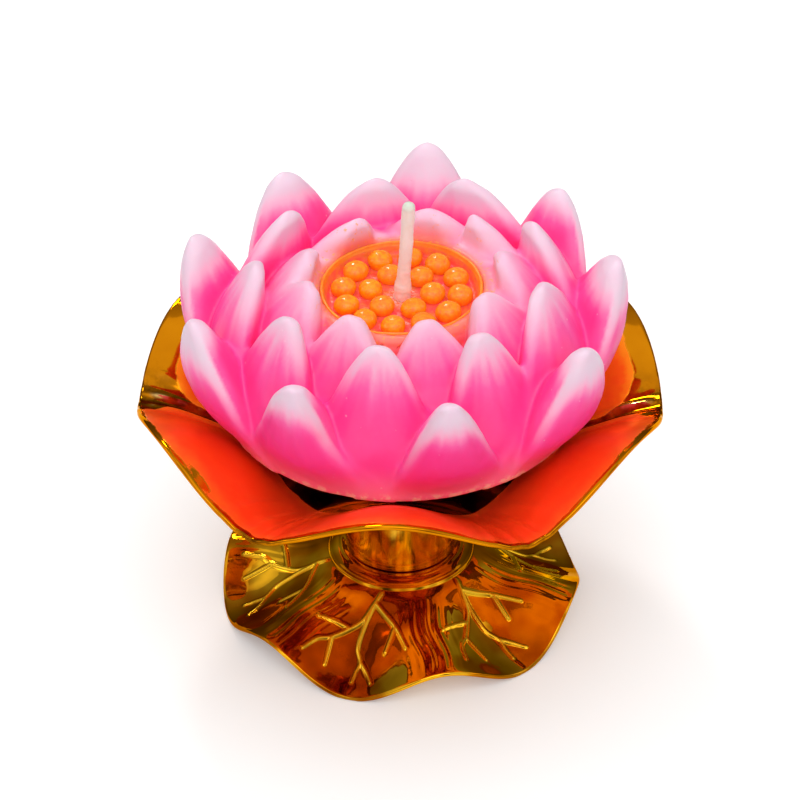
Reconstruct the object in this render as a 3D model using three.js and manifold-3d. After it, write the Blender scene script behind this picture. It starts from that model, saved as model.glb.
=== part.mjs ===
// Lotus candle resting in a petal bowl on a leaf foot.
// Millimetres, +Z up, origin on the table under the centre of the foot.
import * as THREE from 'three';
import { mergeVertices } from 'three/addons/utils/BufferGeometryUtils.js';
import Module from 'manifold-3d';

const wasm = await Module();
wasm.setup();

// Shared values
const clearance = 0.3;      // gap between pieces that touch
const seatClearance = 0.5;  // upright gap where the candle rests on the sloping petals of the bowl
const overrun = 2;          // how far a cut or a join reaches past the face it meets
const meshTolerance = 0.02; // how far simplifying may move a face
const degree = Math.PI / 180;

// Leaf foot
const footRimRadius = 39.6;
const footWall = 1.1;
const footFoldRise = 7;      // how far the folds between two lobes lift off the table
const footLobeCount = 6;
const footFoldAngle = 43 * degree;
const footTopHeight = 13.7;  // the flat that the stem stands on
const footFlatDepth = 0.45;  // how much of each lobe the table flat takes off
const footSteps = 60;
const collarFlatRadius = 13.4;
const collarRadius = 15.9;
const collarDrop = 1.4;
const collarStep = 0.5;      // the edge round the plain band

// Stem and the two collars that it is pushed over
const stemRadius = 12.2;
const stemFlare = 0.5;
const stemWall = 1.6;
const stemLength = 24.6;
const stemEdge = 0.3;
const socketWall = 1.3;
const socketDepth = 8;
const roundSteps = 40;

// Petal bowl
const bowlRimRadius = 55.6;
const bowlFloorRadius = 19;
const bowlWall = 1.1;
const bowlNotchRise = 10.2;  // floor to rim between two petals
const bowlCrestRise = 19.8;  // floor to rim at the middle of a petal
const bowlPetalCount = 6;
const bowlNotchAngle = 57.7 * degree;
const bowlNotchSharpness = 1.45;
const bowlSteps = 60;

// Wax body of the candle, in its own frame with the flat bottom at zero
const bodyFootRadius = 36.4;
const bodyRimHeight = 28.5;  // bottom to the rim of the seed pod
const petalCount = 9;
const outerTipAngle = 81.9 * degree;
const bodySteps = 54;
const candleSlideX = 0.95;   // where the candle came to rest in the bowl
const candleSlideY = 1.4;
const candleLeanFront = 2.6 * degree;
const candleLeanSide = -1 * degree;

// Seed pod, seeds and wick
const podRadius = 16.9;
const podRimWidth = 1.2;
const podPoolDepth = 4.2;
const podFloor = 8;
const seedRadius = 2.65;
const innerSeedRing = 6.5;
const outerSeedRing = 12.2;
const innerSeedCount = 6;
const outerSeedCount = 12;
const innerSeedTurn = 51.5 * degree;
const outerSeedTurn = 21.5 * degree;
const wickRadius = 1.25;
const wickAboveRim = 21.2;
const wickLeanX = 2;
const wickLeanY = -1.2;
const wickSides = 10;
const globRadius = 1.9;
const globHeight = 7;
const tabRadius = 10;
const tabSheet = 0.5;
const tabNeckHeight = 3.4;
const tabNeckSheet = 0.5;

const nudgeShare = 0.001;   // step for the slope of a wavy sheet

const mix = (a, b, share) => a + (b - a) * share;

function toSolid(geometry) {
  const bare = geometry.clone();
  for (const name of Object.keys(bare.attributes)) {
    if (name !== 'position') bare.deleteAttribute(name);
  }
  const merged = mergeVertices(bare);
  return new wasm.Manifold(new wasm.Mesh({
    numProp: 3,
    vertProperties: new Float32Array(merged.attributes.position.array),
    triVerts: new Uint32Array(merged.index.array),
  }));
}

function toGeometry(solid) {
  const mesh = solid.simplify(meshTolerance).getMesh();
  const geometry = new THREE.BufferGeometry();
  geometry.setAttribute('position', new THREE.BufferAttribute(mesh.vertProperties, 3));
  geometry.setIndex(new THREE.BufferAttribute(mesh.triVerts, 1));
  geometry.computeVertexNormals();
  return geometry;
}

// Closed loops of equal length, one above the other, with both ends capped
function loft(loops) {
  const count = loops[0].length;
  const positions = loops.flat(2);
  const faces = [];
  for (let row = 0; row < loops.length - 1; row += 1) {
    for (let i = 0; i < count; i += 1) {
      const a = row * count + i;
      const b = row * count + (i + 1) % count;
      faces.push(a, b, b + count, a, b + count, a + count);
    }
  }
  for (let i = 1; i < count - 1; i += 1) {
    const last = (loops.length - 1) * count;
    faces.push(0, i + 1, i);
    faces.push(last, last + i, last + i + 1);
  }
  const geometry = new THREE.BufferGeometry();
  geometry.setAttribute('position', new THREE.Float32BufferAttribute(positions, 3));
  geometry.setIndex(faces);
  return geometry;
}

// Rings of equal length joined in a closed band: a shell with a hole through its middle
function shell(rings) {
  const count = rings[0].length;
  const faces = [];
  for (let row = 0; row < rings.length; row += 1) {
    const next = (row + 1) % rings.length;
    for (let i = 0; i < count; i += 1) {
      const j = (i + 1) % count;
      faces.push(row * count + i, next * count + i, next * count + j);
      faces.push(row * count + i, next * count + j, row * count + j);
    }
  }
  const geometry = new THREE.BufferGeometry();
  geometry.setAttribute('position', new THREE.Float32BufferAttribute(rings.flat(2), 3));
  geometry.setIndex(faces);
  return geometry;
}

// A profile of [radius, height] points turned about the upright axis
function turned(profile, steps) {
  const points = profile.map(([radius, height]) => new THREE.Vector2(radius, height));
  return new THREE.LatheGeometry(points, steps).rotateX(Math.PI / 2);
}

function ringOf(steps, place) {
  return Array.from({ length: steps }, (_, i) => place(2 * Math.PI * i / steps));
}

// Value at a share along a table of [share, value, value] rows
function tableValue(rows, share, column) {
  let row = 1;
  while (row < rows.length - 1 && rows[row][0] < share) row += 1;
  const [low, high] = [rows[row - 1], rows[row]];
  return mix(low[column], high[column], (share - low[0]) / (high[0] - low[0]));
}

// A wavy sheet of even wall: its top from the inner edge to the rim, then its underside back
function wavySheet(rows, wall, steps, radiusAt, heightAt) {
  const top = rows.map(([share]) => ringOf(steps, (angle) => {
    const radius = radiusAt(share);
    return [radius * Math.cos(angle), radius * Math.sin(angle), heightAt(share, angle)];
  }));
  const under = rows.map(([share]) => ringOf(steps, (angle) => {
    const [low, high] = [Math.max(share - nudgeShare, 0), Math.min(share + nudgeShare, 1)];
    const run = radiusAt(high) - radiusAt(low);
    const slope = (heightAt(high, angle) - heightAt(low, angle)) / run;
    const length = Math.hypot(1, slope);
    const edge = share === 0 ? 0 : wall * slope / length;
    const radius = radiusAt(share) + edge;
    const height = heightAt(share, angle) - wall / length;
    return [radius * Math.cos(angle), radius * Math.sin(angle), height];
  }));
  return shell([...top, ...under.reverse()]);
}

// Leaf foot: a low dome whose rim waves between lobes on the table and lifted folds.
// Rows are radius share, then the share of the drop on a lobe and on a fold.
const socketRadius = stemRadius - stemWall - clearance;
const footRowShares = [
  [0, 0, 0],
  [0.08, 0.07, 0.1],
  [0.22, 0.26, 0.35],
  [0.42, 0.52, 0.62],
  [0.62, 0.76, 0.8],
  [0.82, 0.93, 0.93],
  [1, 1, 1],
];

const footRimTop = footWall - footFlatDepth;
const bandBottom = footTopHeight - collarDrop;
const leafTop = bandBottom - collarStep;

function footRadiusAt(share) {
  return mix(collarRadius, footRimRadius, share);
}

function footHeightAt(share, angle) {
  const fold = (1 + Math.cos(footLobeCount * (angle - footFoldAngle))) / 2;
  const lobe = mix(leafTop, footRimTop, tableValue(footRowShares, share, 1));
  const raised = mix(leafTop, footRimTop + footFoldRise, tableValue(footRowShares, share, 2));
  return mix(lobe, raised, fold);
}

function leafFoot() {
  const leaf = toSolid(wavySheet(footRowShares, footWall, footSteps, footRadiusAt, footHeightAt));
  const bore = socketRadius - socketWall;
  const collar = toSolid(turned([
    [bore, footTopHeight - footWall],
    [collarFlatRadius, footTopHeight - footWall],
    [collarRadius, leafTop - footWall],
    [collarRadius + footWall, leafTop - footWall / 2],
    [collarRadius, leafTop],
    [collarRadius, bandBottom],
    [collarFlatRadius, footTopHeight],
    [socketRadius, footTopHeight],
    [socketRadius, footTopHeight + socketDepth - stemEdge],
    [socketRadius - stemEdge, footTopHeight + socketDepth],
    [bore, footTopHeight + socketDepth],
    [bore, footTopHeight - footWall],
  ], footSteps));
  const width = 2 * (footRimRadius + overrun);
  const table = toSolid(new THREE.BoxGeometry(width, width, overrun).translate(0, 0, -overrun / 2));
  return toGeometry(leaf.add(collar).subtract(table));
}

// Stem: a plain sleeve over the sockets of the foot and of the bowl
const stemBottom = footTopHeight + clearance;
const stemTop = stemBottom + stemLength;

function stem() {
  const bore = stemRadius - stemWall;
  return turned([
    [bore, stemBottom],
    [stemRadius - stemEdge, stemBottom],
    [stemRadius, stemBottom + stemEdge],
    [stemRadius, stemBottom + stemLength / 2],
    [stemRadius + stemFlare, stemTop - stemEdge],
    [stemRadius + stemFlare - stemEdge, stemTop],
    [bore, stemTop],
    [bore, stemBottom],
  ], roundSteps);
}

// Petal bowl: a flat floor that rises into six flared petals with low notches between them.
// Rows are radius share, then the share of the rise on a petal's crest and in a notch.
const bowlUnder = stemTop + clearance;
const bowlFloor = bowlUnder + bowlWall;
const bowlRowShares = [
  [0, 0, 0],
  [0.12, 0.06, 0.02],
  [0.25, 0.19, 0.08],
  [0.36, 0.33, 0.18],
  [0.48, 0.53, 0.34],
  [0.57, 0.65, 0.48],
  [0.68, 0.79, 0.65],
  [0.79, 0.905, 0.81],
  [0.9, 0.975, 0.92],
  [1, 1, 1],
];

function bowlRadiusAt(share) {
  return mix(bowlFloorRadius, bowlRimRadius, share);
}

function bowlHeightAt(share, angle) {
  const turn = Math.abs(Math.sin(bowlPetalCount / 2 * (angle - bowlNotchAngle)));
  const crest = bowlCrestRise * tableValue(bowlRowShares, share, 1);
  const notch = bowlNotchRise * tableValue(bowlRowShares, share, 2);
  return bowlFloor + mix(notch, crest, turn ** bowlNotchSharpness);
}

function petalBowl() {
  const petals = toSolid(wavySheet(bowlRowShares, bowlWall, bowlSteps, bowlRadiusAt, bowlHeightAt));
  const floor = toSolid(turned([
    [0, bowlUnder],
    [bowlFloorRadius, bowlUnder],
    [bowlFloorRadius + bowlWall, bowlFloor - bowlWall / 2],
    [bowlFloorRadius, bowlFloor],
    [0, bowlFloor],
  ], bowlSteps));
  const socket = toSolid(turned([
    [socketRadius - socketWall, bowlUnder - socketDepth],
    [socketRadius - stemEdge, bowlUnder - socketDepth],
    [socketRadius, bowlUnder - socketDepth + stemEdge],
    [socketRadius, bowlUnder + bowlWall / 2],
    [socketRadius - socketWall, bowlUnder + bowlWall / 2],
    [socketRadius - socketWall, bowlUnder - socketDepth],
  ], roundSteps));
  return toGeometry(petals.add(floor).add(socket));
}

// Petals of the wax body. The outer face of each runs as a curve from its foot past a bend
// to its tip, and its half width grows from the tip down to the foot.
const outerBendRadius = 48.6;
const outerBendHeight = 17;
const outerTipRadius = 45.4;
const outerTipHeight = 32.7;
const outerFootThickness = 8;
const outerBendThickness = 5;
const outerFootHalfWidth = 18.4;
const outerEdgeDrop = 3.4;
const middleFootRadius = 38.8;
const middleFootHeight = 3;
const middleBendRadius = 37.6;
const middleBendHeight = 18;
const middleTipRadius = 30;
const middleTipHeight = 35.3;
const middleFootThickness = 10;
const middleBendThickness = 6;
const middleFootHalfWidth = 20;
const middleEdgeDrop = 2.6;
const innerFootRadius = 33;
const innerFootHeight = 6;
const innerBendRadius = 30.5;
const innerBendHeight = 23;
const innerTipRadius = 20.5;
const innerTipHeight = 34.7;
const innerFootThickness = 12;
const innerBendThickness = 6.4;
const innerFootHalfWidth = 20;
const innerEdgeDrop = 1.6;

// The share tables hold how far the cast tips stray from the even ring
const petalRings = [
  {
    footRadius: bodyFootRadius,
    footHeight: 0,
    bendRadius: outerBendRadius,
    bendHeight: outerBendHeight,
    tipRadius: outerTipRadius,
    tipHeight: outerTipHeight,
    footThickness: outerFootThickness,
    bendThickness: outerBendThickness,
    footHalfWidth: outerFootHalfWidth,
    edgeDrop: outerEdgeDrop,
    taperPower: 0.63,
    firstTip: outerTipAngle,
    strayShares: [0.049, -0.043, -0.025, 0.01, 0.024, -0.022, 0.017, 0, -0.012],
    turnShares: [0.033, -0.025, 0.02, 0, -0.01, -0.023, -0.033, 0.005, 0.053],
  },
  {
    footRadius: middleFootRadius,
    footHeight: middleFootHeight,
    bendRadius: middleBendRadius,
    bendHeight: middleBendHeight,
    tipRadius: middleTipRadius,
    tipHeight: middleTipHeight,
    footThickness: middleFootThickness,
    bendThickness: middleBendThickness,
    footHalfWidth: middleFootHalfWidth,
    edgeDrop: middleEdgeDrop,
    taperPower: 0.65,
    firstTip: outerTipAngle - Math.PI / petalCount,
    strayShares: [0.05, -0.014, 0, 0.03, 0.013, 0.01, 0, -0.016, 0],
    turnShares: [0.065, 0.055, -0.038, -0.04, -0.028, -0.018, -0.012, 0.028, -0.058],
  },
  {
    footRadius: innerFootRadius,
    footHeight: innerFootHeight,
    bendRadius: innerBendRadius,
    bendHeight: innerBendHeight,
    tipRadius: innerTipRadius,
    tipHeight: innerTipHeight,
    footThickness: innerFootThickness,
    bendThickness: innerBendThickness,
    footHalfWidth: innerFootHalfWidth,
    edgeDrop: innerEdgeDrop,
    taperPower: 0.7,
    firstTip: outerTipAngle,
    strayShares: [0.01, 0.06, 0.04, 0.02, 0.045, 0.04, -0.015, -0.04, -0.09],
    turnShares: [-0.198, 0.205, 0.108, 0.065, 0.053, -0.02, -0.033, 0.135, -0.095],
  },
];
const petalDropPower = 1.2;
const petalTipThickness = 2;
const petalTipHalfWidth = 1.1;
const petalEdgeThickness = 1.2;
const petalBackFall = 1.3;   // how much lower the back of a tip lies than its face
const petalRowShares = [0, 0.25, 0.5, 0.7, 0.84, 0.93, 0.985, 1];
const petalFaceShares = [-1, -0.62, -0.24, 0.24, 0.62, 1];
const petalBackShares = [1, 0.5, 0, -0.5, -1];

function petalBlade(ring, index) {
  const stray = ring.strayShares[index] * ring.tipRadius;
  const pitch = 2 * Math.PI / petalCount;
  const middle = ring.firstTip + pitch * (ring.turnShares[index] - index);
  const face = new THREE.QuadraticBezierCurve(
    new THREE.Vector2(ring.footRadius, ring.footHeight),
    new THREE.Vector2(ring.bendRadius + stray / 2, ring.bendHeight),
    new THREE.Vector2(ring.tipRadius + stray, ring.tipHeight),
  );
  return toSolid(loft(petalRowShares.map((share) => {
    const { x: radius, y: height } = face.getPoint(share);
    const belowTip = (ring.tipHeight - height) / (ring.tipHeight - ring.footHeight);
    const halfWidth = Math.max(ring.footHalfWidth * belowTip ** ring.taperPower, petalTipHalfWidth);
    const drop = ring.edgeDrop * Math.sin(Math.PI * share ** petalDropPower);
    const early = mix(ring.footThickness, ring.bendThickness, share);
    const thickness = mix(early, mix(ring.bendThickness, petalTipThickness, share), share);
    const edge = Math.min(petalEdgeThickness, thickness);
    const place = (across, depth) => {
      const angle = middle + across * halfWidth / radius;
      const reach = radius - drop * across ** 2 - depth * mix(thickness, edge, across ** 2);
      const fall = depth * petalBackFall * share;
      return [reach * Math.cos(angle), reach * Math.sin(angle), height - fall];
    };
    return [
      ...petalFaceShares.map((across) => place(across, 0)),
      ...petalBackShares.map((across) => place(across, 1)),
    ];
  })));
}

// Wax body: the cast core with its recesses, joined with the three rings of petals
const podRecess = podRadius + clearance;
const podBottom = bodyRimHeight - podPoolDepth - podFloor;
const wickBore = wickRadius + clearance;
const tabRecess = tabRadius + clearance;
const tabRecessHeight = tabSheet + 2 * clearance;
const neckBore = wickBore + tabNeckSheet + clearance;
const neckTop = clearance + tabSheet + tabNeckHeight;
const troughs = {
  wallRadius: 38.2,
  wallHeight: 9,
  outerRadius: 37,
  outerHeight: 13.5,
  ledgeRadius: 30,
  ledgeHeight: 17,
  innerRadius: 26,
  innerHeight: 21.5,
};
const podLedge = 1.4;

function waxBody() {
  const core = toSolid(turned([
    [tabRecess, 0],
    [bodyFootRadius - clearance, 0],
    [troughs.wallRadius, troughs.wallHeight],
    [troughs.outerRadius, troughs.outerHeight],
    [troughs.ledgeRadius, troughs.ledgeHeight],
    [troughs.innerRadius, troughs.innerHeight],
    [podRecess + podLedge, bodyRimHeight - clearance],
    [podRecess, bodyRimHeight - clearance],
    [podRecess, podBottom - clearance],
    [wickBore, podBottom - clearance],
    [wickBore, neckTop + clearance],
    [neckBore, neckTop + clearance],
    [neckBore, tabRecessHeight],
    [tabRecess, tabRecessHeight],
    [tabRecess, 0],
  ], bodySteps));
  const blades = petalRings.flatMap((ring) => (
    Array.from({ length: petalCount }, (_, index) => petalBlade(ring, index))
  ));
  const joined = blades.reduce((sum, blade) => sum.add(blade), core);
  const hollow = toSolid(turned([
    [0, podBottom - clearance],
    [podRecess, podBottom - clearance],
    [podRecess, bodyRimHeight + overrun],
    [0, bodyRimHeight + overrun],
  ], bodySteps));
  return toGeometry(joined.subtract(hollow));
}

// Seed pod: an orange wax cup with a raised rim, let into the body
const pool = bodyRimHeight - podPoolDepth;

function seedPod() {
  return turned([
    [wickBore, podBottom],
    [podRadius - clearance, podBottom],
    [podRadius, podBottom + clearance],
    [podRadius, bodyRimHeight - clearance],
    [podRadius - podRimWidth / 2, bodyRimHeight],
    [podRadius - podRimWidth, bodyRimHeight - clearance],
    [podRadius - podRimWidth - clearance, pool + clearance],
    [podRadius - podRimWidth - 2 * clearance, pool],
    [wickBore, pool],
    [wickBore, podBottom],
  ], roundSteps);
}

const seedSegments = 10;
const seedRows = 7;

function seedPlaces() {
  const rings = [
    { count: outerSeedCount, radius: outerSeedRing, first: outerSeedTurn },
    { count: innerSeedCount, radius: innerSeedRing, first: innerSeedTurn },
  ];
  return rings.flatMap(({ count, radius, first }) => ringOf(count, (turn) => [
    radius * Math.cos(first + turn),
    radius * Math.sin(first + turn),
    pool + clearance + seedRadius,
  ]));
}

// Wick: straight through the wax, leaning above the pool, with a glob of wax at its foot
const wickBottom = clearance + tabSheet + clearance;
const wickTop = bodyRimHeight + wickAboveRim;

function wick() {
  const free = wickTop - pool;
  const route = new THREE.CatmullRomCurve3([
    new THREE.Vector3(0, 0, wickBottom),
    new THREE.Vector3(0, 0, podBottom),
    new THREE.Vector3(0, 0, pool),
    new THREE.Vector3(wickLeanX / 3, wickLeanY / 3, pool + free / 3),
    new THREE.Vector3(wickLeanX, wickLeanY, wickTop),
  ]);
  const round = new THREE.Shape(new THREE.EllipseCurve(0, 0, wickRadius, wickRadius)
    .getPoints(wickSides).slice(0, wickSides));
  const cord = new THREE.ExtrudeGeometry(round, {
    steps: wickSides,
    bevelEnabled: false,
    extrudePath: route,
  });
  const globBottom = pool + clearance;
  const glob = turned([
    [0, globBottom],
    [globRadius, globBottom],
    [globRadius, globBottom + globHeight / 5],
    [mix(globRadius, wickRadius, 1 / 2), globBottom + globHeight / 2],
    [wickRadius, globBottom + globHeight],
    [0, globBottom + globHeight],
  ], wickSides);
  return toGeometry(toSolid(cord).add(toSolid(glob)));
}

// Wick tab: the tin disc pressed into the bottom, with its neck round the wick
function wickTab() {
  return turned([
    [0, clearance],
    [tabRadius, clearance],
    [tabRadius, clearance + tabSheet],
    [wickBore + tabNeckSheet, clearance + tabSheet],
    [wickBore + tabNeckSheet, neckTop],
    [wickBore, neckTop],
    [wickBore, clearance + tabSheet],
    [0, clearance + tabSheet],
  ], roundSteps / 2);
}

function material(color, roughness, metalness) {
  return new THREE.MeshStandardMaterial({ color, roughness, metalness });
}

const gold = material('#d99a12', 0.12, 1);
const goldDark = material('#b87410', 0.12, 1);
const pinkWax = material('#ff5ca8', 0.45, 0);
const orangeWax = material('#ff8a2a', 0.35, 0);
const seedWax = material('#ff7a10', 0.2, 0);
const whiteWax = material('#ece3dc', 0.6, 0);
const tin = material('#b9bcc0', 0.35, 1);

const part = new THREE.Group();
const candle = new THREE.Group();

function place(group, name, geometry, look) {
  const mesh = new THREE.Mesh(geometry, look);
  mesh.name = name;
  group.add(mesh);
  return mesh;
}

place(part, 'leaf_foot', leafFoot(), goldDark);
place(part, 'stem', stem(), gold);
place(part, 'petal_bowl', petalBowl(), gold);
place(candle, 'lotus_wax_body', waxBody(), pinkWax);
place(candle, 'seed_pod', seedPod(), orangeWax);
place(candle, 'wick', wick(), whiteWax);
place(candle, 'wick_tab', wickTab(), tin);
seedPlaces().forEach(([x, y, z], index) => {
  const seed = new THREE.SphereGeometry(seedRadius, seedSegments, seedRows).rotateX(Math.PI / 2);
  const name = `seed_${String(index + 1).padStart(2, '0')}`;
  place(candle, name, seed, seedWax).position.set(x, y, z);
});

// The candle rests where its bottom edge first meets the crests of the bowl's petals
function seatHeight() {
  const lean = new THREE.Euler(candleLeanFront, candleLeanSide, 0, 'YXZ');
  const edge = ringOf(bodySteps * bowlPetalCount, (angle) => {
    const point = new THREE.Vector3(bodyFootRadius * Math.cos(angle), bodyFootRadius * Math.sin(angle), 0);
    return point.applyEuler(lean);
  });
  return Math.max(...edge.map((point) => {
    const [x, y] = [point.x + candleSlideX, point.y + candleSlideY];
    const share = (Math.hypot(x, y) - bowlFloorRadius) / (bowlRimRadius - bowlFloorRadius);
    return bowlHeightAt(share, Math.atan2(y, x)) - point.z;
  })) + seatClearance;
}

candle.rotation.set(candleLeanFront, candleLeanSide, 0, 'YXZ');
candle.position.set(candleSlideX, candleSlideY, seatHeight());
part.add(candle);

export default part;
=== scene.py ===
import math

import bpy
import numpy as np
from mathutils import Euler, Matrix, Vector


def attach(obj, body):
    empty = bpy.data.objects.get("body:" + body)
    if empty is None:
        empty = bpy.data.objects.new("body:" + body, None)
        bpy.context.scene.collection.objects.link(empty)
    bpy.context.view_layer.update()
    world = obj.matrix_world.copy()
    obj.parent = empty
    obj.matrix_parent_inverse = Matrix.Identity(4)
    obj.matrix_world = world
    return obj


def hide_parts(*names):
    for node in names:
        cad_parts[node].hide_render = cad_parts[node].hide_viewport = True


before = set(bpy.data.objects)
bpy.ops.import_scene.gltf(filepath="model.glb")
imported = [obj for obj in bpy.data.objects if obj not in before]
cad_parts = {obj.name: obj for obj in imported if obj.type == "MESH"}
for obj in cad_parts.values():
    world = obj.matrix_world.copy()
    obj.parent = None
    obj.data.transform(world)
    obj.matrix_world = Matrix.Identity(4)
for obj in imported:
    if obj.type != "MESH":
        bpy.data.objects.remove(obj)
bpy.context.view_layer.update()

MM = 0.001
TURN = 2 * math.pi
FAR = 1e9

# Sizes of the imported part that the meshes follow, in millimetres
FOOT_RIM, FOOT_WALL, FOOT_FOLD_RISE, FOOT_LOBES = 39.6, 1.1, 7.0, 6
FOOT_FOLD_ANGLE = math.radians(43)
FOOT_TOP, COLLAR_FLAT, COLLAR, COLLAR_DROP, COLLAR_STEP = 13.7, 13.4, 15.9, 1.4, 0.5
FOOT_RIM_TOP = 0.65
STEM_RADIUS, STEM_BOTTOM, STEM_LENGTH, STEM_FLARE = 12.2, 14.0, 24.6, 0.5
SOCKET_RADIUS, SOCKET_BORE, SOCKET_DEPTH, STEM_BORE = 10.3, 9.0, 8.0, 10.6
BOWL_RIM, BOWL_FLOOR_RADIUS, BOWL_WALL, BOWL_FLOOR = 55.6, 19.0, 1.1, 40.0
BOWL_NOTCH_RISE, BOWL_CREST_RISE, BOWL_PETALS = 10.2, 19.8, 6
BOWL_NOTCH_ANGLE, BOWL_SHARPNESS = math.radians(57.7), 1.45
CANDLE = (0.95, 1.4, 51.278)
LEAN_FRONT, LEAN_SIDE = math.radians(2.6), math.radians(-1)
BODY_FOOT, POD_RIM_HEIGHT, PETALS = 36.4, 28.5, 9
POD_RADIUS, POD_RIM_WIDTH, POOL, POD_BOTTOM, POOL_RISE = 16.9, 0.7, 24.3, 16.3, 1.4
SEED_RADIUS = 2.65
SEED_WIDE, SEED_FLAT, SEED_SINK, SEED_GRID = 2.78, 2.2, 0.3, (40, 64)
WICK_RADIUS, WICK_TOP, WICK_LEAN, GLOB_SIZE = 1.36, 49.7, (2.0, -1.2), 0.55
POD_STEPS, WICK_STEPS = 420, 72

candle_place = (
    Matrix.Translation(Vector(CANDLE))
    @ Matrix.Rotation(LEAN_SIDE, 4, "Y")
    @ Matrix.Rotation(LEAN_FRONT, 4, "X")
)


def smooth_curves(rows):
    """Smooth curves through rising rows of (share, value, value), one for each column of values."""
    x, *columns = np.array(rows, float).T
    step = np.diff(x)

    def curve(y):
        rise = np.diff(y) / step
        a, b = 2 * step[1:] + step[:-1], step[1:] + 2 * step[:-1]
        inner = (a + b) / (a / rise[:-1] + b / rise[1:])
        slope = np.concatenate([rise[:1], inner, rise[-1:]])

        def value(share):
            share = np.clip(share, 0, 1)
            i = np.clip(np.searchsorted(x, share, side="right") - 1, 0, len(x) - 2)
            t = (share - x[i]) / step[i]
            start = y[i] * (1 + 2 * t) * (1 - t) ** 2 + slope[i] * step[i] * t * (1 - t) ** 2
            return start + y[i + 1] * t * t * (3 - 2 * t) + slope[i + 1] * step[i] * t * t * (t - 1)

        return value

    return [curve(column) for column in columns]


def smoothstep(low, high, value):
    t = np.clip((value - low) / (high - low), 0, 1)
    return t * t * (3 - 2 * t)


def between(rise, fall, value):
    """0, rising softly to 1 over the first range and falling back over the second."""
    return smoothstep(*rise, value) * (1 - smoothstep(*fall, value))


def mix(a, b, t):
    return a + (b - a) * t


def bell(value, width, power=2):
    """1 at zero, falling away softly within that width."""
    return np.exp(-((value / width) ** power))


def unit(vectors):
    return vectors / np.maximum(np.linalg.norm(vectors, axis=-1, keepdims=True), 1e-12)


def polar(points):
    """Distance from the upright axis, and angle round it."""
    return np.hypot(points[..., 0], points[..., 1]), np.arctan2(points[..., 1], points[..., 0])


def around(radius, angle, height):
    """Points at these places round the upright axis."""
    return np.stack([radius * np.cos(angle), radius * np.sin(angle), height], -1)


def wrapped(angle):
    """The same angle, between half a turn back and half a turn on."""
    return (angle + math.pi) % TURN - math.pi


def to_stretch(x, y, start, end):
    """Squared distance of places in a plane from a straight stretch."""
    dx, dy = end[0] - start[0], end[1] - start[1]
    t = np.clip(((x - start[0]) * dx + (y - start[1]) * dy) / (dx * dx + dy * dy), 0, 1)
    return (x - start[0] - t * dx) ** 2 + (y - start[1] - t * dy) ** 2


def wave_noise(points, size, seed):
    """Smooth noise of about -1 to 1 with waves of about that size, from summed sines."""
    rng = np.random.default_rng(seed)
    flat = points.reshape(-1, 3)
    total = np.zeros(len(flat))
    for _ in range(12):
        way = rng.normal(size=3)
        way *= TURN / size / np.linalg.norm(way) * rng.uniform(0.6, 1.5)
        total += np.sin(flat @ way + rng.uniform(0, TURN))
    return total.reshape(points.shape[:-1]) / 4


def link(thing):
    bpy.context.scene.collection.objects.link(thing)
    return thing


def mesh_piece(name, verts, quads, tris=(), place=None, **fields):
    """A smooth mesh object from millimetre vertices and index arrays, at the frame's origin.

    The fields hold a number for each vertex. The materials read them by name.
    """
    verts = np.asarray(verts, float).reshape(-1, 3)
    if place is not None:
        m = np.array(place)
        verts = verts @ m[:3, :3].T + m[:3, 3]
    mesh = bpy.data.meshes.new(name)
    faces = np.asarray(quads).tolist() + np.asarray(tris).tolist()
    mesh.from_pydata((verts * MM).tolist(), [], faces)
    mesh.validate()
    mesh.polygons.foreach_set("use_smooth", np.ones(len(mesh.polygons), bool))
    mesh.update()
    for field, values in fields.items():
        layer = mesh.attributes.new(field, "FLOAT", "POINT")
        layer.data.foreach_set("value", np.asarray(values, np.float32).ravel())
    return link(bpy.data.objects.new(name, mesh))


def steps_round(steps):
    """Angles in even steps round the axis."""
    return np.arange(steps) * TURN / steps


def band_faces(rows, cols, closed=True):
    """Quads of a grid whose columns go round, and whose rows close on themselves if closed."""
    last = rows if closed else rows - 1
    i, j = np.meshgrid(np.arange(last), np.arange(cols), indexing="ij")
    i, j = i.ravel(), j.ravel()
    k, n = (i + 1) % rows, (j + 1) % cols
    return np.stack([i * cols + j, k * cols + j, k * cols + n, i * cols + n], axis=1)


def lathe(profile, steps):
    """Rings of points of a profile of (radius, height) turned round the upright axis."""
    angle = steps_round(steps)
    radius, height = (column[:, None] for column in np.array(profile, float).T)
    return around(radius, angle, height + 0 * angle)


def turned(name, profile, steps, place=None):
    """A closed profile, turned to a ring-shaped piece."""
    quads = band_faces(len(profile), steps)[:, ::-1]
    return mesh_piece(name, lathe(profile, steps), quads, place=place)


def rounded(profile, radius, steps):
    """The closed profile with each corner cut by a small arc."""
    points = np.array(profile, float)
    t = np.linspace(0, 1, steps)[:, None]
    arcs = []
    for i, corner in enumerate(points):
        before, after = points[i - 1] - corner, points[(i + 1) % len(points)] - corner
        cut = min(radius, np.linalg.norm(before) * 0.45, np.linalg.norm(after) * 0.45)
        start, end = corner + unit(before) * cut, corner + unit(after) * cut
        arcs.append((1 - t) ** 2 * start + 2 * t * (1 - t) * corner + t * t * end)
    return np.vstack(arcs)


def dress(piece, look, body, nodes):
    """The material, the CAD body that carries the piece and the nodes it stands for."""
    piece.data.materials.append(look)
    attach(piece, body)
    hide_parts(*nodes)


def rgba(tone):
    """Linear colour of a six-digit sRGB code, or a grey of that strength."""
    if not isinstance(tone, str):
        return (tone, tone, tone, 1)
    parts = [int(tone[i : i + 2], 16) / 255 for i in (0, 2, 4)]
    return (*(p / 12.92 if p <= 0.04045 else ((p + 0.055) / 1.055) ** 2.4 for p in parts), 1)


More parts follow.
